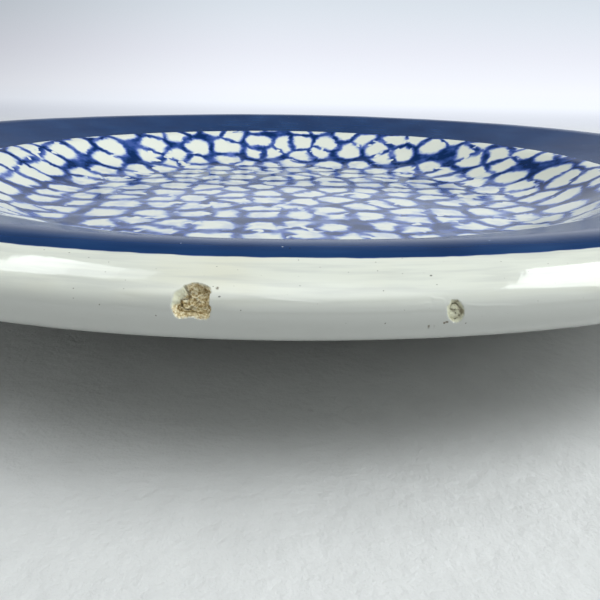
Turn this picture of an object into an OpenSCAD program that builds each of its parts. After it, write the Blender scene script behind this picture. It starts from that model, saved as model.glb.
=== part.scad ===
// Hand painted ceramic plate: a shallow thrown dish with a thick rolled rim, standing on a low foot ring.
// Every coat is a separate solid: white slip over the clay, then the glazes, which meet edge to edge.
// Origin at the centre of the foot's underside, +Z up, millimetres.

/* [Plate] */
// Overall diameter over the lip
plate_d = 270; // [230:1:320]
// Overall height from the foot to the crown of the rim
plate_h = 30; // [29:0.5:32]
// Depth of the well floor below the crown
well_depth = 18.2; // [17:0.2:19]

/* [Rim] */
// Distance in from the lip to the crown of the rim
crown_in = 10.4; // [9.5:0.1:12]
// Radius of the rounded top of the rim
crown_t = 14.8; // [14:0.1:16]
// Radius of the rolled edge of the lip
lip_t = 3.8; // [3.4:0.1:4.2]
// Slope of the ledge inside the crown, in degrees
ledge_a = 15.4; // [12:0.2:18]
// How far the lip is rolled under, in degrees below the horizontal
roll_a = 115; // [100:1:120]
// Radius of the groove behind the rolled lip
groove_r = 6; // [4:0.5:8]

/* [Well] */
// Distance in from the lip to the shoulder between the ledge and the wall
shoulder_in = 36; // [34:0.5:40]
// Radius of the shoulder
shoulder_r = 12; // [6:1:18]
// Slope of the wall, in degrees
wall_a = 30; // [28:1:32]
// Radius of the bend between the wall and the floor
fillet_r = 50; // [44:1:52]

/* [Underside] */
// Slope of the underside between the rim and the foot, in degrees
under_a = 19; // [18:0.5:20]
// Radius where the underside turns into the flat base
heel_r = 8; // [4:1:12]
// Outer diameter of the foot ring
foot_d = 150; // [130:1:154]
// Width of the foot ring
foot_w = 7.5; // [6:0.5:10]
// Height of the foot ring below the base
foot_h = 5.2; // [5:0.1:6]
// Rounding of the foot ring's two lower edges
foot_edge = 1.2; // [0.8:0.1:1.5]
// Bare clay left at the bottom of the foot, where the glaze was wiped off
foot_bare = 1.8; // [1.5:0.1:2.5]

/* [Coats] */
// Thickness of the white slip over the clay
slip_t = 0.4; // [0.3:0.05:0.5]
// Thickness of the glaze over the slip
glaze_t = 0.5; // [0.4:0.05:0.7]
// Distance in from the lip to the inner edge of the cobalt band
band_in = 34.7; // [30:0.1:35]
// Where the cobalt band ends outside the crown, in degrees from the top of the crown's arc
band_out_a = 16.2; // [10:0.2:24]

/* [Chips] */
// Bearing of the large chip in the lip, in degrees from +X
big_chip_az = -93.5; // [-180:0.5:180]
// Bearing of the small chip in the lip, in degrees from +X
small_chip_az = -80.9; // [-180:0.5:180]
// Width of the large chip
big_chip_w = 4.4; // [3:0.1:6]
// Width of the small chip
small_chip_w = 2.5; // [1.5:0.1:3]
// How much wider the break is in each coat than in the coat below it
chip_step = 0.2; // [0.1:0.05:0.4]

/* [Hidden] */
// Facets round the plate and round a chip
$fn = 180;
chip_fn = 48;
// Straight steps along each arc of the section
arc_steps = 8;
// How far a trimming shape passes beyond the coat that it trims
reach = 3;

plate_r = plate_d / 2;
coat_t = slip_t + glaze_t;
floor_z = plate_h - well_depth;
foot_r = foot_d / 2;

function dir(a) = [cos(a), sin(a)];

// The rim: a broad arc over the crown, then a tight one round the lip, tangent inside it.
crown_r = plate_r - crown_in;
crown_c = [crown_r, plate_h - crown_t];
lip_x = plate_r - lip_t;
lip_c = [lip_x, crown_c.y + sqrt(pow(crown_t - lip_t, 2) - pow(lip_x - crown_r, 2))];
lip_a = atan2(lip_c.y - crown_c.y, lip_c.x - crown_c.x);

// The ledge falls inward from the crown, turns over the shoulder and runs down the wall into the floor.
ledge_n = 90 + ledge_a;
wall_n = 90 + wall_a;
ledge_top = crown_c + crown_t * dir(ledge_n);
function ledge_at(x) = [x, ledge_top.y - (ledge_top.x - x) * tan(ledge_a)];
shoulder_c = ledge_at(plate_r - shoulder_in) - shoulder_r * dir(ledge_n);
wall_top = shoulder_c + shoulder_r * dir(wall_n);
wall_foot_z = floor_z + fillet_r * (1 - cos(wall_a));
wall_foot_x = wall_top.x - (wall_top.y - wall_foot_z) / tan(wall_a);
fillet_c = [wall_foot_x - fillet_r * sin(wall_a), floor_z + fillet_r];

// The underside: a groove behind the lip, a plain cone, and a heel that turns into the flat base.
under_n = under_a - 90;
groove_c = lip_c + (lip_t + groove_r) * dir(-roll_a);
under_top = groove_c - groove_r * dir(under_n);
heel_z = foot_h + heel_r * (1 - cos(under_a));
heel_x = under_top.x - (under_top.y - heel_z) / tan(under_a);
heel_c = [heel_x - heel_r * sin(under_a), foot_h + heel_r];

// Points of an arc about c, from bearing a0 to a1
function arc(c, r, a0, a1) = [for (i = [0 : arc_steps]) c + r * dir(a0 + (a1 - a0) * i / arc_steps)];

// Outline of the foot ring from its outer side round to its inner side, a depth d inside its glazed sides
function foot_outline(d) = concat(
    [[foot_r - d, foot_h + d]],
    arc([foot_r - d - foot_edge, foot_edge], foot_edge, 0, -90),
    arc([foot_r - foot_w + d + foot_edge, foot_edge], foot_edge, -90, -180),
    [[foot_r - foot_w + d, foot_h + d]]
);

// Half section of the dish without its foot, everywhere a depth d below the glazed surface
function dish_outline(d) = concat(
    [[0, foot_h + d], [0, floor_z - d]],
    arc(fillet_c, fillet_r + d, -90, wall_n - 180),
    arc(shoulder_c, shoulder_r - d, wall_n, ledge_n),
    arc(crown_c, crown_t - d, ledge_n, lip_a),
    arc(lip_c, lip_t - d, lip_a, -roll_a),
    arc(groove_c, groove_r + d, 180 - roll_a, 180 + under_n),
    arc(heel_c, heel_r - d, under_n, -90)
);

// Half section of the whole plate, a depth d below the glazed surface
module plate_section(d) {
    polygon(concat(dish_outline(d), foot_outline(d)));
}

// A coat of the plate between two depths, ending above the bare bottom of the foot
module coat_section(d_outer, d_inner) {
    difference() {
        plate_section(d_outer);
        plate_section(d_inner);
        square([plate_r, foot_bare]);
    }
}

// The part of the section under the well, inside the cobalt band
module well_zone() {
    edge = ledge_at(plate_r - band_in);
    polygon([
        [0, floor_z - reach],
        [fillet_c.x, floor_z - reach],
        [wall_foot_x, wall_foot_z - reach],
        edge - reach * dir(ledge_n),
        edge + reach * dir(ledge_n),
        [0, plate_h]
    ]);
}

// The part of the section under the cobalt band
module band_zone() {
    edge = ledge_at(plate_r - band_in);
    out_n = 90 - band_out_a;
    polygon([
        edge - reach * dir(ledge_n),
        edge + reach * dir(ledge_n),
        [crown_r, plate_h + reach],
        crown_c + (crown_t + reach) * dir(out_n),
        crown_c + (crown_t - reach) * dir(out_n),
        ledge_top - reach * dir(ledge_n)
    ]);
}

// The part of the section inside the foot ring
module recess_zone() {
    square([foot_r - foot_w / 2, foot_h + coat_t]);
}

// One chip: three overlapping bites out of the lip, at a bearing, an angle round the lip and a width
module chip(az, round_a, w, spread) {
    rotate([0, 0, az])
    for (bite = [[-0.24, 0.06, 0.30], [0.02, -0.10, 0.38], [0.26, 0.10, 0.27]]) {
        edge = lip_c + lip_t * dir(round_a + bite[1] * w * 10);
        translate([edge.x, bite[0] * w, edge.y])
            sphere(r = bite[2] * w + spread, $fn = chip_fn);
    }
}

module chips(spread) {
    chip(big_chip_az, 29, big_chip_w, spread);
    chip(small_chip_az, 10, small_chip_w, spread);
}

module clay_body() {
    color("tan")
    difference() {
        rotate_extrude() polygon(dish_outline(coat_t));
        chips(0);
    }
}

module foot_ring() {
    color("burlywood")
    rotate_extrude() polygon(foot_outline(coat_t));
}

module white_slip() {
    color("ivory")
    difference() {
        rotate_extrude() difference() {
            coat_section(glaze_t, coat_t);
            recess_zone();
        }
        chips(chip_step);
    }
}

module painted_well() {
    color("lightsteelblue")
    rotate_extrude() intersection() {
        coat_section(0, glaze_t);
        well_zone();
    }
}

module cobalt_band() {
    color("midnightblue")
    rotate_extrude() intersection() {
        coat_section(0, glaze_t);
        band_zone();
    }
}

module outer_glaze() {
    color("whitesmoke")
    difference() {
        rotate_extrude() difference() {
            coat_section(0, glaze_t);
            well_zone();
            band_zone();
            recess_zone();
        }
        chips(2 * chip_step);
    }
}

module foot_glaze() {
    color("white")
    rotate_extrude() intersection() {
        coat_section(0, coat_t);
        recess_zone();
    }
}

clay_body();
foot_ring();
white_slip();
painted_well();
cobalt_band();
outer_glaze();
foot_glaze();
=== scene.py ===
"""Looks of the hand painted ceramic plate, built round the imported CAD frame.

Each coat of the plate is a closed shell: the plate's section, swept round its axis between two depths
below the glazed surface. The chips are one fracture surface that every coat shares, so each shows
where the fracture passes through it. Lengths are millimetres, apart from those of the sheet under
the plate and of the lights, which are metres. Angles are given in degrees, but the bearings of the
columns of a grid are radians.
"""

import itertools
import math

import bmesh
import bpy
import numpy as np
from mathutils import Matrix


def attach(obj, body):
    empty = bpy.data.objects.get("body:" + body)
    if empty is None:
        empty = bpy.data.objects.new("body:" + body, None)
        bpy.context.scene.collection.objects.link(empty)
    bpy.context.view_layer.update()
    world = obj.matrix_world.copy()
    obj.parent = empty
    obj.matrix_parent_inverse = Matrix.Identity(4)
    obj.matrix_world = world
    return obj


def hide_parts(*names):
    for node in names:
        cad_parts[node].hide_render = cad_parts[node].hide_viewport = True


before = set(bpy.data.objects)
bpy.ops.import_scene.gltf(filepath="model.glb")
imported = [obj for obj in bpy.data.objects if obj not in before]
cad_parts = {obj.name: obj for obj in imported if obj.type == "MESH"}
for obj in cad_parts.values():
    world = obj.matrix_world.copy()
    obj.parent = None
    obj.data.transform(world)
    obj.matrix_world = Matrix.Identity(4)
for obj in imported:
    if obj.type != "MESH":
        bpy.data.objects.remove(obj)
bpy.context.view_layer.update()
MM = 0.001


# ---------------------------------------------------------------- sizes, the same as in the CAD model

PLATE_R = 135
PLATE_H = 30
WELL_DEPTH = 18.2
FLOOR_Z = PLATE_H - WELL_DEPTH
SLIP_T = 0.4
GLAZE_T = 0.5
COAT_T = SLIP_T + GLAZE_T

CROWN_R = PLATE_R - 10.4
CROWN_T = 14.8
LIP_T = 3.8
LEDGE_A = 15.4
ROLL_A = 115
GROOVE_R = 6
SHOULDER_R = 12
SHOULDER_X = PLATE_R - 36
WALL_A = 30
FILLET_R = 50
UNDER_A = 19
HEEL_R = 8
FOOT_R = 75
FOOT_W = 7.5
FOOT_EDGE = 1.2
BASE_Z = 5.2
BARE_Z = 1.8
BAND_IN_R = PLATE_R - 34.7
BAND_OUT_N = 90 - 16.2

# Rounding of the glaze where the base meets the foot, which the CAD model leaves sharp
CORNER_R = 1.3


# ---------------------------------------------------------------- small maths

def bearing(angle):
    """Unit vector at an angle in degrees."""
    return np.array([math.cos(math.radians(angle)), math.sin(math.radians(angle))])


def smoothstep(low, high, value):
    """0 below low, 1 above high, and a smooth curve between. high may be less than low."""
    t = np.clip((value - low) / (high - low), 0, 1)
    return t * t * (3 - 2 * t)


def lattice_noise(points, cell, seed):
    """Smooth noise from -1 to 1 at points (..., 3), which varies over about one cell."""
    scaled = points / cell
    corner = np.floor(scaled).astype(np.int64)
    blend = scaled - corner
    blend = blend * blend * (3 - 2 * blend)
    total = np.zeros(points.shape[:-1])
    for step in itertools.product((0, 1), repeat=3):
        key = (corner + np.array(step)) * np.array([73856093, 19349663, 83492791])
        mixed = (key[..., 0] ^ key[..., 1] ^ key[..., 2] ^ (seed * 40503)) & 0xFFFFFFFF
        mixed = ((mixed ^ (mixed >> 13)) * 1274126177) & 0xFFFFFFFF
        mixed = mixed ^ (mixed >> 16)
        weight = np.prod(np.where(np.array(step) == 1, blend, 1 - blend), axis=-1)
        total += weight * ((mixed & 0xFFFF) / 32767.5 - 1)
    return total


def crag(points, cell, seed, octaves):
    """Rough noise: octaves of lattice_noise, each half as wide and little more than half as strong."""
    total = 0
    for octave in range(octaves):
        total = total + 0.6**octave * lattice_noise(points, cell / 2**octave, seed + octave)
    return total


# ---------------------------------------------------------------- the section

class Line:
    """A straight stretch of a section. Its outward normal lies to the left of its direction."""

    def __init__(self, start, end):
        self.start = np.array(start, float)
        self.end = np.array(end, float)
        self.length = np.linalg.norm(self.end - self.start)
        run = self.end - self.start
        self.normal = math.degrees(math.atan2(run[1], run[0])) + 90

    def at(self, t):
        point = self.start + t * (self.end - self.start)
        return point[0], point[1], self.normal


class Bend:
    """A round stretch. Its outward normal turns from n0 to n1; side is 1 if convex, -1 if concave."""

    def __init__(self, centre, radius, n0, n1, side=1):
        self.centre = np.array(centre, float)
        self.radius = radius
        self.n0 = n0
        self.n1 = n1
        self.side = side
        self.length = abs(math.radians(n1 - n0)) * radius
        self.start = self.centre + side * radius * bearing(n0)
        self.end = self.centre + side * radius * bearing(n1)

    def at(self, t):
        normal = self.n0 + t * (self.n1 - self.n0)
        point = self.centre + self.side * self.radius * bearing(normal)
        return point[0], point[1], normal


class Section:
    """A chain of stretches, walked by distance from its first point."""

    def __init__(self, stretches):
        self.stretches = stretches
        self.starts = np.cumsum([0] + [stretch.length for stretch in stretches])
        self.length = self.starts[-1]

    def stations(self, distances):
        """Rows of distance from the axis, height and normal, at these distances along the section."""
        rows = []
        for distance in distances:
            i = int(np.searchsorted(self.starts, distance, side="right")) - 1
            i = min(max(i, 0), len(self.stretches) - 1)
            rows.append(self.stretches[i].at((distance - self.starts[i]) / self.stretches[i].length))
        return np.array(rows)

    def distance_at(self, bend, normal):
        """Distance along the section to where a bend's normal has turned to this angle."""
        start = self.starts[self.stretches.index(bend)]
        return start + bend.length * (normal - bend.n0) / (bend.n1 - bend.n0)


def chained(first, bends, last):
    """A section from point to point through bends, with straight stretches where they don't meet."""
    stretches = []
    here = np.array(first, float)
    for bend in bends:
        if np.linalg.norm(bend.start - here) > 1e-6:
            stretches.append(Line(here, bend.start))
        stretches.append(bend)
        here = bend.end
    stretches.append(Line(here, last))
    return Section(stretches)


ledge_n = 90 + LEDGE_A
wall_n = 90 + WALL_A
under_n = UNDER_A - 90
crown_c = np.array([CROWN_R, PLATE_H - CROWN_T])
lip_x = PLATE_R - LIP_T
lip_rise = math.sqrt((CROWN_T - LIP_T) ** 2 - (lip_x - CROWN_R) ** 2)
lip_c = crown_c + np.array([lip_x - CROWN_R, lip_rise])
lip_n = math.degrees(math.atan2(lip_rise, lip_x - CROWN_R))
ledge_top = crown_c + CROWN_T * bearing(ledge_n)


def ledge_at(x):
    """Point of the ledge at a distance x from the axis."""
    return np.array([x, ledge_top[1] - (ledge_top[0] - x) * math.tan(math.radians(LEDGE_A))])


shoulder_c = ledge_at(SHOULDER_X) - SHOULDER_R * bearing(ledge_n)
wall_top = shoulder_c + SHOULDER_R * bearing(wall_n)
wall_foot_z = FLOOR_Z + FILLET_R * (1 - math.cos(math.radians(WALL_A)))
wall_foot_x = wall_top[0] - (wall_top[1] - wall_foot_z) / math.tan(math.radians(WALL_A))
fillet_c = [wall_foot_x - FILLET_R * math.sin(math.radians(WALL_A)), FLOOR_Z + FILLET_R]
groove_c = lip_c + (LIP_T + GROOVE_R) * bearing(-ROLL_A)
under_top = groove_c - GROOVE_R * bearing(under_n)
heel_z = BASE_Z + HEEL_R * (1 - math.cos(math.radians(UNDER_A)))
heel_x = under_top[0] - (under_top[1] - heel_z) / math.tan(math.radians(UNDER_A))
heel_c = [heel_x - HEEL_R * math.sin(math.radians(UNDER_A)), BASE_Z + HEEL_R]

fillet = Bend(fillet_c, FILLET_R, 90, wall_n, -1)
shoulder = Bend(shoulder_c, SHOULDER_R, wall_n, ledge_n)
crown = Bend(crown_c, CROWN_T, ledge_n, lip_n)
lip = Bend(lip_c, LIP_T, lip_n, -ROLL_A)
groove = Bend(groove_c, GROOVE_R, -ROLL_A, under_n, -1)
heel = Bend(heel_c, HEEL_R, under_n, -90)
DISH = [fillet, shoulder, crown, lip, groove, heel]

corner_out = Bend([FOOT_R + CORNER_R, BASE_Z - CORNER_R], CORNER_R, -90, 0, -1)
glazed = chained([0, FLOOR_Z], DISH + [corner_out], [FOOT_R, BARE_Z])
biscuit = chained([0, FLOOR_Z], DISH, [0, BASE_Z])
band_in_s = glazed.distance_at(shoulder, ledge_n) + BAND_IN_R - SHOULDER_X
band_out_s = glazed.distance_at(crown, BAND_OUT_N)
BAND_OUT_R = glazed.stations([band_out_s])[0][0]
lip_edge_s = glazed.distance_at(lip, 0)


# ---------------------------------------------------------------- the break in the lip

# How far the outline, the sides and the floor of a chip stray, and over what distance each does
EDGE_ROUGH = 0.13
EDGE_CELL = 0.7
WALL_ROUGH = 0.10
WALL_CELL = 0.35
FLOOR_ROUGH = 0.28
FLOOR_CELL = 0.62
# The crack inside a chip's edge: half width, depth, and how far and over what distance it winds
CRACK_W = 0.11
CRACK_DEPTH = 0.3
CRACK_WIND = 0.12
CRACK_CELL = 0.6
# How dark the pits of the floor are made, how dark loose grains are, and the size of a grain
PIT_DARK = 0.75
GRAIN_DIRT = 0.7
GRAIN_CELL = 0.26
# How ragged the edge of a speck is, and over what distance
SPECK_ROUGH = 0.06
SPECK_CELL = 0.25
# Steepness of the break at which clay and grime begin to show, and at which they show in full
STAIN_START = 1.3
STAIN_FULL = 2.2
# No chip reaches further than this from its middle
CHIP_REACH = 3.8


class Chip:
    """A piece broken out of the lip. outline is the distance to its edge and slopes the steepness of
    the break there, both at equal steps round it, anticlockwise from the right as seen from outside.
    A crack runs inside the edge, on the side at the bearing crack_side, and its darkness is painted shade
    in the crevice. grime is how much of the steep sides it covers. specks are dots beside the chip: right
    of its middle, above it, and radius."""

    def __init__(self, azimuth, normal, outline, slopes, depth, crack_in, crack_side, grime, specks, seed):
        self.azimuth = math.radians(azimuth)
        self.distance = glazed.distance_at(lip, normal)
        self.outline = outline
        self.slopes = slopes
        self.depth = depth
        self.crack_in = crack_in
        self.crack_side = math.radians(crack_side)
        self.grime = grime
        self.specks = specks
        self.seed = seed

    def around(self, values, angle):
        """A smooth curve through values at equal steps of a full turn."""
        place = (angle / (2 * math.pi) % 1) * len(values)
        i = np.floor(place).astype(int)
        t = smoothstep(0, 1, place - i)
        values = np.array(values)
        return values[i % len(values)] * (1 - t) + values[(i + 1) % len(values)] * t

    def local(self, distances, columns):
        """Distance to the right of the chip's middle, and above it, for a grid of the surface."""
        right = PLATE_R * (columns - self.azimuth)[None, :] + 0 * distances[:, None]
        above = (self.distance - distances)[:, None] + 0 * columns[None, :]
        return right, above

    def fracture(self, distances, columns):
        """Depth of the break below the glazed surface, how dark it is made (grains, specks, darker pits and
        painted shade in the crack), and how far its wall shows clay rather than clean glaze and slip. The
        last two run from 0 to 1."""
        right, above = self.local(distances, columns)
        place = np.stack([right, above, np.full_like(right, self.seed)], axis=-1)
        angle = np.arctan2(above, right)
        edge = self.around(self.outline, angle) + EDGE_ROUGH * crag(place, EDGE_CELL, self.seed, octaves=3)
        inside = edge - np.hypot(right, above)
        rough = crag(place, FLOOR_CELL, self.seed + 9, octaves=3)
        slope = self.around(self.slopes, angle)
        wander = WALL_ROUGH * lattice_noise(place, WALL_CELL, self.seed + 4)
        wall = inside * slope + wander * (inside > 0.1)
        # Painted shade: the crack inside the edge is darkened as shade in the crevice
        facing = smoothstep(0.1, 0.6, np.cos(angle - self.crack_side))
        winding = self.crack_in + CRACK_WIND * lattice_noise(place, CRACK_CELL, self.seed + 30)
        crack = np.exp(-(((inside - winding) / CRACK_W) ** 2)) * facing
        depth = np.minimum(wall, self.depth + FLOOR_ROUGH * rough) + CRACK_DEPTH * crack
        # Darker down in the pits of the floor
        pits = PIT_DARK * smoothstep(-0.40, -0.80, rough)
        grains = GRAIN_DIRT * smoothstep(0.45, 0.80, lattice_noise(place, GRAIN_CELL, self.seed + 15))
        dirt_and_shade = np.maximum(np.maximum(pits, crack), grains * smoothstep(0, 0.3, inside))
        dirt_and_shade = dirt_and_shade * (inside > 0)
        ragged = SPECK_ROUGH * lattice_noise(place, SPECK_CELL, self.seed + 50)
        for x, y, radius in self.specks:
            away = np.hypot(right - x, above - y) + ragged
            dirt_and_shade = np.maximum(dirt_and_shade, smoothstep(radius, 0.6 * radius, away))
        stain = self.grime * smoothstep(STAIN_START, STAIN_FULL, slope + 0.35 * rough)
        return np.where(inside > 0, np.maximum(depth, 0), 0), dirt_and_shade, stain


big_chip = Chip(
    azimuth=-93.5, normal=30,
    outline=[1.9, 2.5, 2.2, 2.0, 2.3, 2.6, 1.95, 2.8],
    slopes=[6, 5, 3.2, 1.2, 0.95, 3.0, 8, 8],
    depth=1.35, crack_in=0.95, crack_side=190, grime=1.0, specks=[(2.75, 1.55, 0.22)], seed=3,
)
small_chip = Chip(
    azimuth=-80.85, normal=10,
    outline=[0.95, 1.15, 1.45, 1.25, 1.05, 1.15, 1.35, 1.30],
    slopes=[3, 3, 2.2, 1.4, 1.1, 1.6, 2.5, 3.0],
    depth=0.46, crack_in=0.30, crack_side=25, grime=0.12,
    specks=[
        (-0.95, -1.15, 0.20),
        (-1.25, -1.3, 0.13),
        (-3.0, -1.6, 0.14),
        (-2.7, -1.75, 0.10),
        (-2.35, -1.7, 0.15),
    ],
    seed=21,
)
CHIPS = [big_chip, small_chip]


def broken(distances, columns):
    """Depth, darkening and stain of all the chips together, over a grid of the surface. The darkening is
    grains, specks, darker pits and painted shade in the cracks.
    """
    total = np.zeros((3, len(distances), len(columns)))
    for chip in CHIPS:
        near = np.hypot(*chip.local(distances, columns)) < CHIP_REACH
        total = np.maximum(total, chip.fracture(distances, columns) * near)
    return total


# ---------------------------------------------------------------- grids over the surface

FRONT = math.radians(-90)
# The rim's grid is finer from this far to the left of the front to this far to the right of it
NEAR_LEFT = 16
NEAR_RIGHT = 19


def spread(low, high, step):
    """Evenly spaced values from low to high, no further apart than step."""
    return np.linspace(low, high, max(2, int(math.ceil((high - low) / step)) + 1))


def merged(*runs):
    """Several runs of values as one rising list."""
    return np.unique(np.round(np.concatenate(runs), 6))


def columns_round(coarse, middle=None, fine=None):
    """Bearings in radians for the columns of a grid, from spacings at the rim: fine at the chips,
    middle near them and coarse elsewhere. Without fine they are all coarse."""
    if fine is None:
        return np.linspace(-math.pi, math.pi, int(2 * math.pi * PLATE_R / coarse), endpoint=False)
    near = (FRONT - math.radians(NEAR_LEFT), FRONT + math.radians(NEAR_RIGHT))
    spans = [(chip.azimuth - CHIP_REACH / PLATE_R, chip.azimuth + CHIP_REACH / PLATE_R) for chip in CHIPS]
    runs = [
        spread(-math.pi, near[0], coarse / PLATE_R),
        spread(near[1], math.pi, coarse / PLATE_R)[:-1],
        spread(near[0], spans[0][0], middle / PLATE_R),
        spread(spans[0][1], spans[1][0], middle / PLATE_R),
        spread(spans[1][1], near[1], middle / PLATE_R),
    ]
    runs += [spread(low, high, fine / PLATE_R) for low, high in spans]
    return merged(*runs)


# ---------------------------------------------------------------- the hand of the potter

LAPS = [
    # bearing where it starts and ends, height above the lip's edge at each, wave and height of the ridge
    (-80.6, -77.4, 1.50, 0.95, 0.05, 0.045),
    (-83.1, -82.0, 1.60, 1.85, 0.05, 0.045),
    (-82.1, -81.3, 2.45, 2.05, 0.03, 0.045),
    (-91.3, -86.8, 2.90, 1.75, 0.06, 0.022),
    (-98.1, -95.2, 0.75, 1.15, 0.14, -0.040),
    (-96.9, -96.2, 2.20, 2.15, 0.04, -0.035),
    (-102.5, -99.0, 0.75, 0.60, 0.08, -0.025),
]
LAP_WIDTH = 0.11


def lap_relief(distances, columns):
    """Thin ridges and furrows where one run of glaze lies over another."""
    relief = np.zeros((len(distances), len(columns)))
    above = (lip_edge_s - distances)[:, None]
    # along runs from 0 to 1 down a lap, and offset counts its half widths to either side
    for start, end, low, high, wave, height in LAPS:
        along = (np.degrees(columns) - start) / (end - start)
        middle = low + (high - low) * along + wave * np.sin(9 * along + 40 * height)
        taper = smoothstep(0, 0.2, along) * smoothstep(1, 0.8, along)
        offset = (above - middle[None, :]) / LAP_WIDTH
        step = smoothstep(-1, 1, -offset) * smoothstep(-9, -1, -abs(offset))
        relief += height * taper[None, :] * (np.exp(-(offset**2)) + 0.5 * step)
    return relief


def hand_relief(points):
    """Slow unevenness of the glaze, in millimetres proud of the turned surface."""
    return (
        0.055 * lattice_noise(points, cell=16, seed=5)
        + 0.022 * lattice_noise(points, cell=6.0, seed=6)
        + 0.006 * lattice_noise(points, cell=2.4, seed=7)
    )


# The far rim's warp: how far it lifts, in two waves and in five, and by what share it stretches
WARP_TWO = 0.25
WARP_FIVE = 0.1
WARP_STRETCH = 0.0015


def warped(points):
    """The plate's slight warp from drying and firing. The foot and the near side stay put."""
    x, y, z = points[..., 0], points[..., 1], points[..., 2]
    r = np.hypot(x, y)
    azimuth = np.arctan2(y, x)
    outward = smoothstep(FOOT_R, PLATE_R, r)
    away = (1 - np.cos(azimuth - FRONT)) / 2
    lift = outward * away * (WARP_TWO * np.sin(2 * azimuth + 0.6) + WARP_FIVE * np.sin(5 * azimuth))
    stretch = 1 + outward * away * WARP_STRETCH * np.sin(2 * azimuth + 1.3)
    return np.stack([x * stretch, y * stretch, z + lift], axis=-1)


def surface(stations, columns, depth):
    """Points of a grid a depth below the turned surface. depth is one number or one for each point."""
    normal = np.radians(stations[:, 2])[:, None]
    r = stations[:, 0][:, None] - depth * np.cos(normal)
    z = stations[:, 1][:, None] - depth * np.sin(normal) + 0 * columns[None, :]
    r = r + 0 * columns[None, :]
    return np.stack([r * np.cos(columns), r * np.sin(columns), z], axis=-1)


# ---------------------------------------------------------------- meshes

# Edges that turn by more than this stay sharp
CREASE_A = 38
# Vertices closer than this are welded
WELD = 1e-4
# Depth below a coat's outer face at which the potter's touch has faded out in the break
RELIEF_FADE = 0.25


def grid_faces(rows, cols, first, keep=None, flip=False):
    """Quads of a grid that closes round on itself, from vertex number first on."""
    i, j = np.meshgrid(np.arange(rows - 1), np.arange(cols), indexing="ij")
    k = (j + 1) % cols
    quads = np.stack([i * cols + j, (i + 1) * cols + j, (i + 1) * cols + k, i * cols + k], axis=-1)
    if keep is not None:
        used = keep[i, j] | keep[i + 1, j] | keep[i + 1, k] | keep[i, k]
        quads = quads[used]
    quads = quads.reshape(-1, 4) + first
    return quads[:, ::-1] if flip else quads


def link_faces(upper, lower, flip=False):
    """Quads between two closed rings of vertices."""
    quads = np.stack([upper, lower, np.roll(lower, -1), np.roll(upper, -1)], axis=-1)
    return quads[:, ::-1] if flip else quads


def mesh_object(name, points, faces, material, attributes=None):
    """A welded, smooth shaded object with its normals outward, from points in millimetres."""
    mesh = bpy.data.meshes.new(name)
    mesh.from_pydata((points * MM).tolist(), [], faces.tolist())
    for label, values in (attributes or {}).items():
        layer = mesh.attributes.new(label, "FLOAT", "POINT")
        layer.data.foreach_set("value", np.ascontiguousarray(values, dtype=np.float32))
    work = bmesh.new()
    work.from_mesh(mesh)
    bmesh.ops.remove_doubles(work, verts=work.verts, dist=WELD * MM)
    loose = [vert for vert in work.verts if not vert.link_faces]
    bmesh.ops.delete(work, geom=loose, context="VERTS")
    bmesh.ops.recalc_face_normals(work, faces=work.faces)
    work.to_mesh(mesh)
    work.free()
    mesh.shade_smooth()
    mesh.set_sharp_from_angle(angle=math.radians(CREASE_A))
    piece = bpy.data.objects.new(name, mesh)
    bpy.context.scene.collection.objects.link(piece)
    mesh.materials.append(material)
    return piece


def coat(name, section, distances, columns, outer, inner, material, chipped=False):
    """A coat of the plate between two depths, as a closed shell. It is left out where the break is
    deeper than its inner face."""
    stations = section.stations(distances)
    rows, cols = len(distances), len(columns)
    depth, dirt_and_shade, stain = broken(distances, columns) if chipped else np.zeros((3, rows, cols))
    top_depth = np.clip(depth, outer, inner)
    top = surface(stations, columns, top_depth)
    relief = hand_relief(top) + (lap_relief(distances, columns) if outer == 0 else 0)
    relief = relief * smoothstep(RELIEF_FADE, 0, top_depth - outer)
    top = surface(stations, columns, top_depth - relief)
    bottom = surface(stations, columns, np.full((rows, cols), inner))
    keep = depth < inner - 1e-6
    top = np.where(keep[..., None], top, bottom)
    points = warped(np.concatenate([top.reshape(-1, 3), bottom.reshape(-1, 3)]))
    count = rows * cols
    ring = np.arange(cols)
    faces = [
        grid_faces(rows, cols, first=0, keep=keep),
        grid_faces(rows, cols, first=count, keep=keep, flip=True),
        link_faces(ring + count, ring),
        link_faces(ring + count - cols, ring + 2 * count - cols),
    ]
    both = {
        "broken": np.tile(smoothstep(outer + 0.02, outer + 0.1, depth).ravel(), 2),
        "dirt_and_shade": np.tile(dirt_and_shade.ravel(), 2),
        "stain": np.tile(stain.ravel(), 2),
    }
    return mesh_object(name, points, np.concatenate(faces), material, both)


def turned(name, stations, columns, depth, material, closed, roughness=0.0, attributes=None):
    """A solid of revolution, roughened by up to about roughness. Its section ends on the axis, or
    joins its own start if closed."""
    rows, cols = len(stations), len(columns)
    smooth = surface(stations, columns, depth)
    rough = surface(stations, columns, depth - roughness * crag(smooth, cell=1.6, seed=41, octaves=3))
    points = warped(rough.reshape(-1, 3))
    faces = [grid_faces(rows, cols, first=0)]
    if closed:
        ring = np.arange(cols)
        faces.append(link_faces(ring + (rows - 1) * cols, ring))
    return mesh_object(name, points, np.concatenate(faces), material, attributes)


# ---------------------------------------------------------------- node graphs

def srgb(red, green, blue):
    """A colour as seen on a screen, 0 to 255, as the shader's linear red, green, blue and alpha."""
    linear = [((c / 255 + 0.055) / 1.055) ** 2.4 if c > 10 else c / 255 / 12.92 for c in (red, green, blue)]
    return (*linear, 1)


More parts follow.
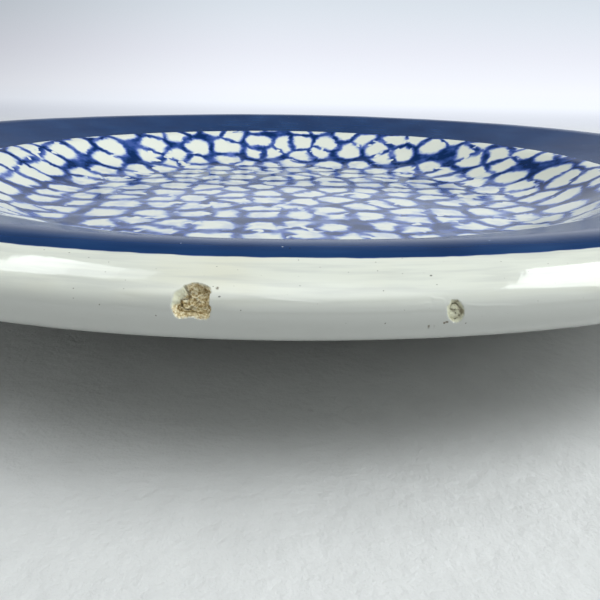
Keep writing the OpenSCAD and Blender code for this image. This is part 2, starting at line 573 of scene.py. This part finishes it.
class Graph:
    """Builds one material's nodes. Positions are in millimetres, in the plate's own frame."""

    def __init__(self, name, roughness):
        self.material = bpy.data.materials.new(name)
        self.material.use_nodes = True
        self.tree = self.material.node_tree
        self.shader = self.tree.nodes["Principled BSDF"]
        self.shader.inputs["Roughness"].default_value = roughness
        self.shader.inputs["IOR"].default_value = 1.5
        place = self.tree.nodes.new("ShaderNodeTexCoord").outputs["Object"]
        self.place = self.vector("SCALE", place, scale=1 / MM)

    def put(self, socket, value):
        if isinstance(value, bpy.types.NodeSocket):
            self.tree.links.new(value, socket)
        else:
            socket.default_value = value

    def math(self, operation, *values, clamp=False):
        made = self.tree.nodes.new("ShaderNodeMath")
        made.operation = operation
        made.use_clamp = clamp
        for i, value in enumerate(values):
            self.put(made.inputs[i], value)
        return made.outputs[0]

    def vector(self, operation, a, b=None, scale=None):
        made = self.tree.nodes.new("ShaderNodeVectorMath")
        made.operation = operation
        self.put(made.inputs[0], a)
        if b is not None:
            self.put(made.inputs[1], b)
        if scale is not None:
            self.put(made.inputs["Scale"], scale)
        return made.outputs["Value" if operation in ("LENGTH", "DISTANCE") else "Vector"]

    def split(self, vector):
        made = self.tree.nodes.new("ShaderNodeSeparateXYZ")
        self.put(made.inputs[0], vector)
        return made.outputs

    def join(self, x, y, z):
        made = self.tree.nodes.new("ShaderNodeCombineXYZ")
        for i, value in enumerate((x, y, z)):
            self.put(made.inputs[i], value)
        return made.outputs[0]

    def noise(self, place, size, detail=2.0, roughness=0.5, colour=False):
        """Noise from 0 to 1 that varies over about size millimetres."""
        made = self.tree.nodes.new("ShaderNodeTexNoise")
        self.put(made.inputs["Vector"], place)
        made.inputs["Scale"].default_value = 1 / size
        made.inputs["Detail"].default_value = detail
        made.inputs["Roughness"].default_value = roughness
        return made.outputs["Color" if colour else "Fac"]

    def cells(self, place, size, feature, jitter=1.0, output="Distance"):
        """Flat Voronoi cells about size millimetres across. Distances come out in cell sizes."""
        made = self.tree.nodes.new("ShaderNodeTexVoronoi")
        made.voronoi_dimensions = "2D"
        made.feature = feature
        self.put(made.inputs["Vector"], place)
        made.inputs["Scale"].default_value = 1 / size
        made.inputs["Randomness"].default_value = jitter
        return made.outputs[output]

    def step(self, value, low, high, bottom=0.0, top=1.0):
        """A smooth step of value from low to high, as bottom to top."""
        made = self.tree.nodes.new("ShaderNodeMapRange")
        made.interpolation_type = "SMOOTHSTEP"
        self.put(made.inputs["Value"], value)
        self.put(made.inputs["From Min"], low)
        self.put(made.inputs["From Max"], high)
        self.put(made.inputs["To Min"], bottom)
        self.put(made.inputs["To Max"], top)
        return made.outputs["Result"]

    def ramp(self, value, *stops):
        """A colour ramp through (place, colour) stops."""
        made = self.tree.nodes.new("ShaderNodeValToRGB")
        self.put(made.inputs["Fac"], value)
        elements = made.color_ramp.elements
        while len(elements) < len(stops):
            elements.new(0.5)
        for element, (place, colour) in zip(elements, stops):
            element.position = place
            element.color = colour
        return made.outputs["Color"]

    def mix(self, factor, a, b):
        made = self.tree.nodes.new("ShaderNodeMix")
        made.data_type = "RGBA"
        self.put(made.inputs["Factor"], factor)
        self.put(made.inputs["A"], a)
        self.put(made.inputs["B"], b)
        return made.outputs["Result"]

    def attribute(self, name):
        made = self.tree.nodes.new("ShaderNodeAttribute")
        made.attribute_name = name
        return made.outputs["Fac"]

    def colour(self, value):
        self.put(self.shader.inputs["Base Color"], value)

    def rough(self, value):
        self.put(self.shader.inputs["Roughness"], value)

    def bump(self, height, depth):
        """A bump whose height runs from 0 to depth millimetres as height runs from 0 to 1."""
        made = self.tree.nodes.new("ShaderNodeBump")
        made.inputs["Strength"].default_value = 1.0
        made.inputs["Distance"].default_value = depth * MM
        self.put(made.inputs["Height"], height)
        self.put(self.shader.inputs["Normal"], made.outputs["Normal"])


# ---------------------------------------------------------------- finishes

GLAZE_ROUGH = 0.07
BREAK_ROUGH = 0.6
WHITE = srgb(225, 227, 217)
WHITE_WARM = srgb(223, 222, 206)
# Grey of the glaze's streaks, and of the painted shade under the lip
WHITE_GREY_AND_SHADE = srgb(193, 195, 190)
WHITE_BROKEN = srgb(210, 210, 186)
PINHOLE = srgb(96, 92, 82)
IRON_SPOT = srgb(52, 50, 46)
# Heights between which the white glaze turns grey under the lip: painted shade, partly also the glaze's own
# tone
LIP_SHADE_TOP = PLATE_H - 2.5
LIP_SHADE_LOW = PLATE_H - 5.5

SLIP_DARK = srgb(188, 186, 160)
SLIP_PALE = srgb(220, 218, 194)
# Brown of loose grains and specks, of the darker pits and of the painted shade in the cracks
DIRT_AND_SHADE = srgb(88, 72, 42)
CLAY_DARK = srgb(150, 124, 76)
CLAY_MID = srgb(218, 201, 158)
CLAY_PALE = srgb(250, 243, 216)
FOOT_DARK = srgb(178, 148, 112)
FOOT_PALE = srgb(208, 184, 150)
FOOT_SCUFF = srgb(150, 134, 116)

BAND_DEEP = srgb(16, 44, 86)
BAND_MID = srgb(26, 58, 104)
BAND_PALE = srgb(44, 78, 124)
BAND_BARE = srgb(205, 212, 224)
BAND_BLOT = srgb(10, 24, 44)

# Width of the painted net's meshes, and how irregular they are, from 0 to 1
NET_PITCH = 11.0
NET_JITTER = 0.72
COBALT_DEEP = srgb(14, 44, 92)
COBALT_MID = srgb(44, 73, 138)
COBALT_WASH = srgb(94, 114, 182)
COBALT_FAINT = srgb(182, 195, 212)
# Pale blue of the reflection painted as a haze on the floor
FLOOR_HAZE_REFLECTION = srgb(140, 158, 206)


def unrolled(graph, outward):
    """The surface laid out flat: distance round the plate, and across it. outward is the weight of
    the distance from the axis, so -1 runs down over the lip and 1 runs out over the band."""
    parts = graph.split(graph.place)
    r = graph.vector("LENGTH", graph.join(parts[0], parts[1], 0.0))
    turn = graph.math("MULTIPLY", graph.math("ARCTAN2", parts[1], parts[0]), PLATE_R)
    across = graph.math("ADD", parts[2], graph.math("MULTIPLY", r, outward))
    return graph.join(turn, across, 0.0), r, parts[2]


def speckled(graph, base, flat, spread_mm, size_mm, share, colour):
    """Sparse specks, pinholes and iron spots: one in each of a share of the cells of a coarse net."""
    shake = graph.noise(flat, 0.3, colour=True)
    shaken = graph.vector("ADD", flat, graph.vector("SCALE", shake, scale=0.12))
    near = graph.cells(shaken, spread_mm, "F1")
    tint = graph.cells(shaken, spread_mm, "F1", output="Color")
    size = graph.step(graph.split(tint)[0], 1 - share, 1.0, 0.0, size_mm / spread_mm)
    speck = graph.step(near, size, graph.math("MULTIPLY", size, 0.5))
    return graph.mix(graph.math("MULTIPLY", speck, 0.8), base, colour)


def clay_colour(graph):
    """Tan clay with a fine yellowish and brown grain."""
    grain = graph.noise(graph.place, 0.40, detail=5, roughness=0.65)
    return graph.ramp(grain, (0.38, CLAY_DARK), (0.5, CLAY_MID), (0.60, CLAY_PALE))


def broken_colour(graph, clean):
    """Colour of a broken edge: clean where it is a gentle slope, clay and grime where it is steep."""
    return graph.mix(graph.attribute("stain"), clean, clay_colour(graph))


def darkened(graph, base):
    """base darkened towards brown where the mesh says so: loose grains and specks, darker pits, and painted
    shade in the cracks of the chips.
    """
    return graph.mix(graph.math("MULTIPLY", graph.attribute("dirt_and_shade"), 0.85), base, DIRT_AND_SHADE)


def white_finish():
    """Glossy white glaze, warm in patches and streaked grey, and greyer under the lip, partly as painted
    shade and partly as its own tone, with pinholes, iron spots, a ragged bleed of cobalt where it meets the
    band, and orange peel."""
    g = Graph("white_glaze", roughness=GLAZE_ROUGH)
    flat, r, z = unrolled(g, -1.0)
    patches = g.noise(g.place, 18, detail=3)
    base = g.mix(g.step(patches, 0.42, 0.72), WHITE, WHITE_WARM)
    streaks = g.noise(g.vector("MULTIPLY", flat, (0.12, 1.0, 1.0)), 1.6, detail=3)
    base = g.mix(g.step(streaks, 0.40, 0.72, 0.0, 0.5), base, WHITE_GREY_AND_SHADE)
    # Greyer under the lip: painted shade, partly also the glaze's own tone
    base = g.mix(g.step(z, LIP_SHADE_TOP, LIP_SHADE_LOW), base, WHITE_GREY_AND_SHADE)
    base = speckled(g, base, flat, spread_mm=3.2, size_mm=0.11, share=0.8, colour=PINHOLE)
    base = speckled(g, base, flat, spread_mm=12.0, size_mm=0.20, share=0.5, colour=IRON_SPOT)
    # Cobalt bleeds a little way past the ragged outer edge of the band
    ragged = g.noise(g.place, 4.0, detail=2)
    edge = g.math("SUBTRACT", r, BAND_OUT_R)
    edge = g.math("ADD", edge, g.math("MULTIPLY", g.math("SUBTRACT", ragged, 0.5), 0.5))
    above = g.math("GREATER_THAN", z, PLATE_H - 3)
    bleed = g.math("MULTIPLY", g.step(edge, 0.20, 0.0), above)
    base = g.mix(bleed, base, COBALT_MID)
    fresh = g.attribute("broken")
    base = g.mix(fresh, base, broken_colour(g, WHITE_BROKEN))
    g.colour(darkened(g, base))
    g.rough(g.step(fresh, 0, 1, GLAZE_ROUGH, BREAK_ROUGH))
    g.bump(g.math("ADD", g.noise(g.place, 1.6, detail=2), g.noise(g.place, 5.0)), 0.016)
    return g.material


def cobalt_finish():
    """Glossy cobalt, laid on with a loaded brush on the wheel, so its tone streaks round the rim."""
    g = Graph("cobalt_glaze", roughness=0.22)
    flat, _, _ = unrolled(g, 1.0)
    streaks = g.noise(g.vector("MULTIPLY", flat, (0.07, 1.0, 1.0)), 1.3, detail=3)
    pools = g.noise(g.place, 14, detail=2)
    tone = g.math("ADD", g.math("MULTIPLY", streaks, 0.45), g.math("MULTIPLY", pools, 0.55))
    base = g.ramp(tone, (0.25, BAND_DEEP), (0.55, BAND_MID), (0.85, BAND_PALE))
    base = speckled(g, base, flat, spread_mm=6.0, size_mm=0.16, share=0.6, colour=BAND_BARE)
    base = speckled(g, base, flat, spread_mm=8.0, size_mm=0.22, share=0.5, colour=BAND_BLOT)
    g.colour(base)
    g.bump(g.noise(g.place, 1.8, detail=2), 0.012)
    return g.material


def net_finish():
    """White glaze with a net brushed on it in cobalt: loose rounded meshes, soft watery strokes and darker
    blots where strokes meet, with a pale haze painted on the floor as a reflection."""
    g = Graph("net_glaze", roughness=0.10)
    # The path of the brush sways slowly and shakes a little
    sway = g.vector("SUBTRACT", g.noise(g.place, 12, detail=1, colour=True), (0.5, 0.5, 0.5))
    shake = g.vector("SUBTRACT", g.noise(g.place, 2.2, detail=2, colour=True), (0.5, 0.5, 0.5))
    brushed = g.vector("ADD", g.place, g.vector("SCALE", sway, scale=5.0))
    brushed = g.vector("ADD", brushed, g.vector("SCALE", shake, scale=1.6))
    # Strokes run along the edges of the meshes: wide where the brush is loaded, soft on the floor
    to_edge = g.cells(brushed, NET_PITCH, "DISTANCE_TO_EDGE", jitter=NET_JITTER)
    to_seed = g.cells(brushed, NET_PITCH, "F1", jitter=NET_JITTER)
    load = g.noise(g.place, 8, detail=2)
    width = g.step(load, 0.32, 0.66, 0.035, 0.15)
    low = g.step(g.split(g.place)[2], FLOOR_Z + 4, FLOOR_Z + 0.6)
    soft = g.math("ADD", width, g.math("ADD", 0.09, g.math("MULTIPLY", low, 0.09)))
    stroke = g.step(to_edge, soft, g.math("MULTIPLY", width, 0.20))
    # Blots gather at the corners of the meshes, and here and there the brush lifts off
    blot = g.step(to_seed, 0.41, 0.66)
    lifted = g.step(g.noise(brushed, 5.0, detail=1), 0.34, 0.42)
    ink = g.math("MAXIMUM", g.math("MULTIPLY", stroke, lifted), blot)
    # The tone thins as the brush empties
    tone = g.noise(g.place, 5.5, detail=3)
    strength = g.step(tone, 0.30, 0.66, 0.42, 0.95)
    strength = g.math("ADD", strength, g.math("MULTIPLY", blot, 0.22), clamp=True)
    amount = g.math("MULTIPLY", ink, strength)
    base = g.ramp(
        amount,
        (0.0, WHITE),
        (0.20, COBALT_FAINT),
        (0.45, COBALT_WASH),
        (0.72, COBALT_MID),
        (1.0, COBALT_DEEP),
    )
    # Painted reflection: a pale haze over the floor
    painted_haze = g.step(g.noise(g.place, 6.5, detail=3), 0.46, 0.70, 0.0, 0.40)
    g.colour(g.mix(g.math("MULTIPLY", painted_haze, low), base, FLOOR_HAZE_REFLECTION))
    g.bump(g.noise(g.place, 2.2, detail=2), 0.012)
    return g.material


def slip_finish():
    """White slip, seen only where it is broken open: cream and chalky."""
    g = Graph("white_slip", roughness=0.8)
    grain = g.noise(g.place, 0.5, detail=4)
    base = broken_colour(g, g.mix(grain, SLIP_DARK, SLIP_PALE))
    g.colour(darkened(g, base))
    g.bump(grain, 0.06)
    return g.material


def clay_finish():
    """Tan biscuit clay, porous, darkened brown down in the break by grains, darker pits and painted shade
    in its cracks.
    """
    g = Graph("biscuit_clay", roughness=0.9)
    g.colour(darkened(g, clay_colour(g)))
    g.bump(g.noise(g.place, 0.45, detail=5), 0.12)
    return g.material


def foot_finish():
    """The same clay on the foot, paler and worn smooth by use, with grey scuffs."""
    g = Graph("foot_clay", roughness=0.85)
    grain = g.noise(g.place, 0.6, detail=5)
    wear = g.noise(g.place, 7, detail=3)
    base = g.ramp(grain, (0.3, FOOT_DARK), (0.7, FOOT_PALE))
    base = g.mix(g.step(wear, 0.5, 0.72, 0, 0.6), base, FOOT_SCUFF)
    g.colour(base)
    g.bump(grain, 0.08)
    return g.material


# How far behind the plate's middle the table begins and ends to give way to the wall, whose light is
# painted on as a glow, and how far to the left that painted glow is dimmest
SWEEP_START = 300
SWEEP_END = 600
WALL_DIM_X = 700
TABLE_DARK = srgb(209, 209, 209)
TABLE_PALE = srgb(215, 215, 215)
# Near-black base of the wall, painted shade, so that its light comes only from its painted glow
WALL_SHADE_BASE = srgb(24, 24, 26)


def sweep_finish():
    """A plain pale table top with a faint tooth. Where it curves up behind it gives way to a near-black
    wall whose light is painted on as a soft glow: brightest low down, dimmer to the left and dark high up."""
    g = Graph("pale_sweep", roughness=0.75)
    parts = g.split(g.place)
    back = g.step(parts[1], SWEEP_START, SWEEP_END)
    mottle = g.noise(g.place, 7, detail=5)
    table = g.ramp(mottle, (0.3, TABLE_DARK), (0.7, TABLE_PALE))
    g.colour(g.mix(back, table, WALL_SHADE_BASE))
    g.bump(g.noise(g.place, 2.4, detail=6, roughness=0.62), 0.45)
    # Painted light: the wall glows brightest low down, dark high up and dimmer to the left
    rise = g.math("DIVIDE", parts[2], g.math("MAXIMUM", parts[1], SWEEP_START))
    glow = g.ramp(
        rise,
        (0.00, srgb(212, 217, 228)),
        (0.011, srgb(224, 229, 239)),
        (0.022, srgb(240, 245, 254)),
        (0.045, srgb(242, 245, 253)),
        (0.107, srgb(229, 232, 242)),
        (0.177, srgb(214, 222, 231)),
        (0.30, srgb(190, 196, 206)),
        (0.45, srgb(165, 171, 181)),
        (0.53, srgb(110, 116, 124)),
        (0.59, srgb(26, 28, 32)),
    )
    dimmed = g.step(parts[0], -WALL_DIM_X, 0, 0.42, 0.0)
    g.put(g.shader.inputs["Emission Color"], g.mix(dimmed, glow, srgb(0, 0, 0)))
    g.put(g.shader.inputs["Emission Strength"], back)
    return g.material


# ---------------------------------------------------------------- the pieces

# Spacing of the grid at the chips, and the angle of the outward normal at each end of its fine rows
FINE = 0.12
FINE_LOW_N = -14
FINE_HIGH_N = 57
fine_low_s = glazed.distance_at(lip, FINE_LOW_N)
fine_high_s = glazed.distance_at(crown, FINE_HIGH_N)
rim_columns = columns_round(coarse=4.2, middle=0.7, fine=FINE)
under_columns = columns_round(coarse=6, middle=2, fine=FINE)
plain_columns = columns_round(coarse=2.6)
white_glaze = white_finish()
clay = clay_finish()


def dress(piece, node):
    """Puts a finished piece in the place of its CAD node."""
    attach(piece, "root")
    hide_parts(node)


def under_rows(section, last_step):
    """Rows for what lies under the glaze, which shows only in the chips. last_step is the spacing
    beyond the groove."""
    groove_s = section.distance_at(groove, under_n)
    return merged(
        spread(0, fine_high_s - 1, 2.5),
        spread(fine_high_s - 1, fine_low_s, FINE),
        spread(fine_low_s, groove_s, 1.0),
        spread(groove_s, section.length, last_step),
    )


def make_outer_glaze():
    """White glaze from the cobalt band round the lip and down to the foot."""
    groove_s = glazed.distance_at(groove, under_n)
    heel_s = glazed.distance_at(heel, under_n)
    rows = merged(
        spread(band_out_s, fine_high_s, 0.4),
        spread(fine_high_s, fine_low_s, FINE),
        spread(fine_low_s, groove_s, 0.6),
        spread(groove_s, heel_s, 2.8),
        spread(heel_s, glazed.length, 0.6),
    )
    piece = coat(
        "outer_glaze_coat", glazed, rows, rim_columns,
        outer=0, inner=GLAZE_T, material=white_glaze, chipped=True,
    )
    dress(piece, "outer_glaze")


def make_white_slip():
    """White slip under the glaze, from the middle of the well round the lip and down to the foot."""
    rows = under_rows(glazed, last_step=2.5)
    piece = coat(
        "white_slip_coat", glazed, rows, under_columns,
        outer=GLAZE_T, inner=COAT_T, material=slip_finish(), chipped=True,
    )
    dress(piece, "white_slip")


def make_clay_body():
    """The clay dish under its coats, bare only where the lip is broken."""
    rows = under_rows(biscuit, last_step=3)
    depth, dirt_and_shade, _ = broken(rows, under_columns)
    depth = np.maximum(depth, COAT_T)
    piece = turned(
        "clay_dish", biscuit.stations(rows), under_columns, depth, clay,
        closed=False, attributes={"dirt_and_shade": dirt_and_shade.ravel()},
    )
    dress(piece, "clay_body")


def make_painted_well():
    """Glaze of the well, with the painted net."""
    rows = merged(spread(0, fillet_c[0], 2.5), spread(fillet_c[0], band_in_s, 0.8))
    piece = coat(
        "painted_well_coat", glazed, rows, plain_columns,
        outer=0, inner=GLAZE_T, material=net_finish(),
    )
    dress(piece, "painted_well")


def make_cobalt_band():
    """Glaze of the painted band over the crown of the rim."""
    rows = spread(band_in_s, band_out_s, 0.45)
    columns = columns_round(coarse=4.2, middle=0.7, fine=0.5)
    piece = coat(
        "cobalt_band_coat", glazed, rows, columns,
        outer=0, inner=GLAZE_T, material=cobalt_finish(),
    )
    dress(piece, "cobalt_band")


def make_foot_glaze():
    """Glaze of the recess inside the foot ring."""
    inner_r = FOOT_R - FOOT_W
    corner = Bend([inner_r - CORNER_R, BASE_Z - CORNER_R], CORNER_R, -90, -180, -1)
    base = Line([0, BASE_Z], corner.start)
    side = Line(corner.end, [inner_r, BARE_Z])
    base.normal -= 180
    side.normal -= 180
    recess = Section([base, corner, side])
    rows = merged(spread(0, recess.starts[1], 2.5), spread(recess.starts[1], recess.length, 0.5))
    piece = coat(
        "foot_glaze_coat", recess, rows, plain_columns,
        outer=0, inner=COAT_T, material=white_glaze,
    )
    dress(piece, "foot_glaze")


def make_foot_ring():
    """Clay ring under the dish, worn smooth where it stands."""
    outer = FOOT_R - COAT_T
    inner = FOOT_R - FOOT_W + COAT_T
    top = BASE_Z + COAT_T
    edge_out = Bend([outer - FOOT_EDGE, FOOT_EDGE], FOOT_EDGE, 0, -90)
    edge_in = Bend([inner + FOOT_EDGE, FOOT_EDGE], FOOT_EDGE, -90, -180)
    ring = chained([outer, top], [edge_out, edge_in], [inner, top])
    stations = ring.stations(spread(0, ring.length, 0.35))
    unworn = smoothstep(0.3, 0.9, stations[:, 1])[:, None]
    piece = turned(
        "foot_ring_clay", stations, plain_columns, 0, foot_finish(),
        closed=True, roughness=0.05 * unworn,
    )
    dress(piece, "foot_ring")


make_outer_glaze()
make_white_slip()
make_clay_body()
make_painted_well()
make_cobalt_band()
make_foot_glaze()
make_foot_ring()


# ---------------------------------------------------------------- stage, light and camera

DAYLIGHT = (0.955, 1.0, 1.0)

# The sheet: half its width, its near edge, the radius of its bend, its height, and the turn of each
# step round the bend
SHEET_HALF_W = 3.0
SHEET_NEAR_Y = -3.0
SHEET_BEND = 0.5
SHEET_TOP_Z = 1.0
SHEET_STEP_A = 6

# The camera as fitted to the outlines of the rim and the band: how far it stands back from the
# plate's middle, to the right of it and above the rim, how it is turned, and its lens and sensor
CAMERA_BACK = 1.4531 * PLATE_R
CAMERA_RIGHT = 3.5
CAMERA_RISE = 0.1448 * PLATE_R
CAMERA_PITCH = 20.68
CAMERA_YAW = 0.27
CAMERA_ROLL = 1.09
LENS = 35.95
SENSOR_W = 36
# The camera sees nothing nearer than this
CLIP_START = 5


def make_sweep():
    """A sheet for the plate to stand on, which curves up behind it."""
    line = [(SHEET_NEAR_Y, 0), (0, 0)]
    for angle in range(-90, 1, SHEET_STEP_A):
        y, z = SHEET_BEND * bearing(angle) + (SHEET_BEND, SHEET_BEND)
        line.append((y, z))
    line.append((2 * SHEET_BEND, SHEET_TOP_Z))
    points = [(x, y, z) for y, z in line for x in (-SHEET_HALF_W, SHEET_HALF_W)]
    faces = [(2 * i, 2 * i + 1, 2 * i + 3, 2 * i + 2) for i in range(len(line) - 1)]
    mesh = bpy.data.meshes.new("sweep")
    mesh.from_pydata(points, [], faces)
    mesh.shade_smooth()
    mesh.materials.append(sweep_finish())
    sheet = bpy.data.objects.new("sweep", mesh)
    bpy.context.scene.collection.objects.link(sheet)


def window(name, azimuths, elevations, away, radiance):
    """An upright light that looks level at the plate, from a distance away. It fills these ranges of
    azimuth, from +Y towards +X, and of elevation, as seen from the plate's middle."""
    middle = math.radians(sum(azimuths) / 2)
    width = 2 * away * math.tan(math.radians(azimuths[1] - azimuths[0]) / 2)
    low, high = (away * math.tan(math.radians(elevation)) for elevation in elevations)
    data = bpy.data.lights.new(name, "AREA")
    data.shape = "RECTANGLE"
    data.size = width
    data.size_y = high - low
    data.energy = radiance * math.pi * width * (high - low)
    data.color = DAYLIGHT
    light = bpy.data.objects.new(name, data)
    light.matrix_world = Matrix((
        (-math.cos(middle), 0, math.sin(middle), away * math.sin(middle)),
        (math.sin(middle), 0, math.cos(middle), away * math.cos(middle)),
        (0, 1, 0, (low + high) / 2),
        (0, 0, 0, 1),
    ))
    bpy.context.scene.collection.objects.link(light)


def make_world(dim, bright, tilt, start):
    """Dim room light that grows smoothly brighter towards a point overhead. tilt leans that point to
    the camera's side, and start is the cosine of the angle from it at which the glow begins."""
    world = bpy.data.worlds.new("soft_room")
    world.use_nodes = True
    tree = world.node_tree
    background = tree.nodes["Background"]
    background.inputs["Color"].default_value = (*DAYLIGHT, 1)
    direction = tree.nodes.new("ShaderNodeTexCoord")
    along = tree.nodes.new("ShaderNodeVectorMath")
    along.operation = "DOT_PRODUCT"
    along.inputs[1].default_value = (0, -math.sin(math.radians(tilt)), math.cos(math.radians(tilt)))
    glow = tree.nodes.new("ShaderNodeMapRange")
    glow.interpolation_type = "SMOOTHSTEP"
    glow.inputs["From Min"].default_value = start
    glow.inputs["To Min"].default_value = dim
    glow.inputs["To Max"].default_value = bright
    tree.links.new(direction.outputs["Generated"], along.inputs[0])
    tree.links.new(along.outputs["Value"], glow.inputs["Value"])
    tree.links.new(glow.outputs["Result"], background.inputs["Strength"])
    bpy.context.scene.world = world


def make_camera():
    """Low and close over the near rim, tipped down and very slightly rolled."""
    pitch = math.radians(CAMERA_PITCH)
    yaw = math.radians(CAMERA_YAW)
    roll = math.radians(CAMERA_ROLL)
    ahead = np.array([math.sin(yaw) * math.cos(pitch), math.cos(yaw) * math.cos(pitch), -math.sin(pitch)])
    level = np.array([math.cos(yaw), -math.sin(yaw), 0])
    upright = np.cross(level, ahead)
    right = math.cos(roll) * level + math.sin(roll) * upright
    up = math.cos(roll) * upright - math.sin(roll) * level
    place = np.array([CAMERA_RIGHT, -CAMERA_BACK, PLATE_H + CAMERA_RISE]) * MM
    data = bpy.data.cameras.new("camera")
    data.sensor_width = SENSOR_W
    data.lens = LENS
    data.clip_start = CLIP_START * MM
    camera = bpy.data.objects.new("camera", data)
    camera.matrix_world = Matrix((
        (right[0], up[0], -ahead[0], place[0]),
        (right[1], up[1], -ahead[1], place[1]),
        (right[2], up[2], -ahead[2], place[2]),
        (0, 0, 0, 1),
    ))
    bpy.context.scene.collection.objects.link(camera)
    bpy.context.scene.camera = camera


make_sweep()
# The left window is brightest low down and fades in bands
for low, high, radiance in ((51, 60, 5.2), (60, 66, 3.4), (66, 70, 2.0)):
    window(f"left_window_{low}", (-88, -57), (low, high), away=0.7, radiance=radiance)
window("right_window", (63, 112), (20, 58), away=1.0, radiance=5.6)
window("left_fill", (-115, -60), (5, 44), away=1.2, radiance=0.85)
window("front_fill", (120, 190), (8, 36), away=1.2, radiance=0.7)
make_world(dim=0.03, bright=3.3, tilt=18, start=0.85)
make_camera()
bpy.context.scene.view_settings.view_transform = "Standard"
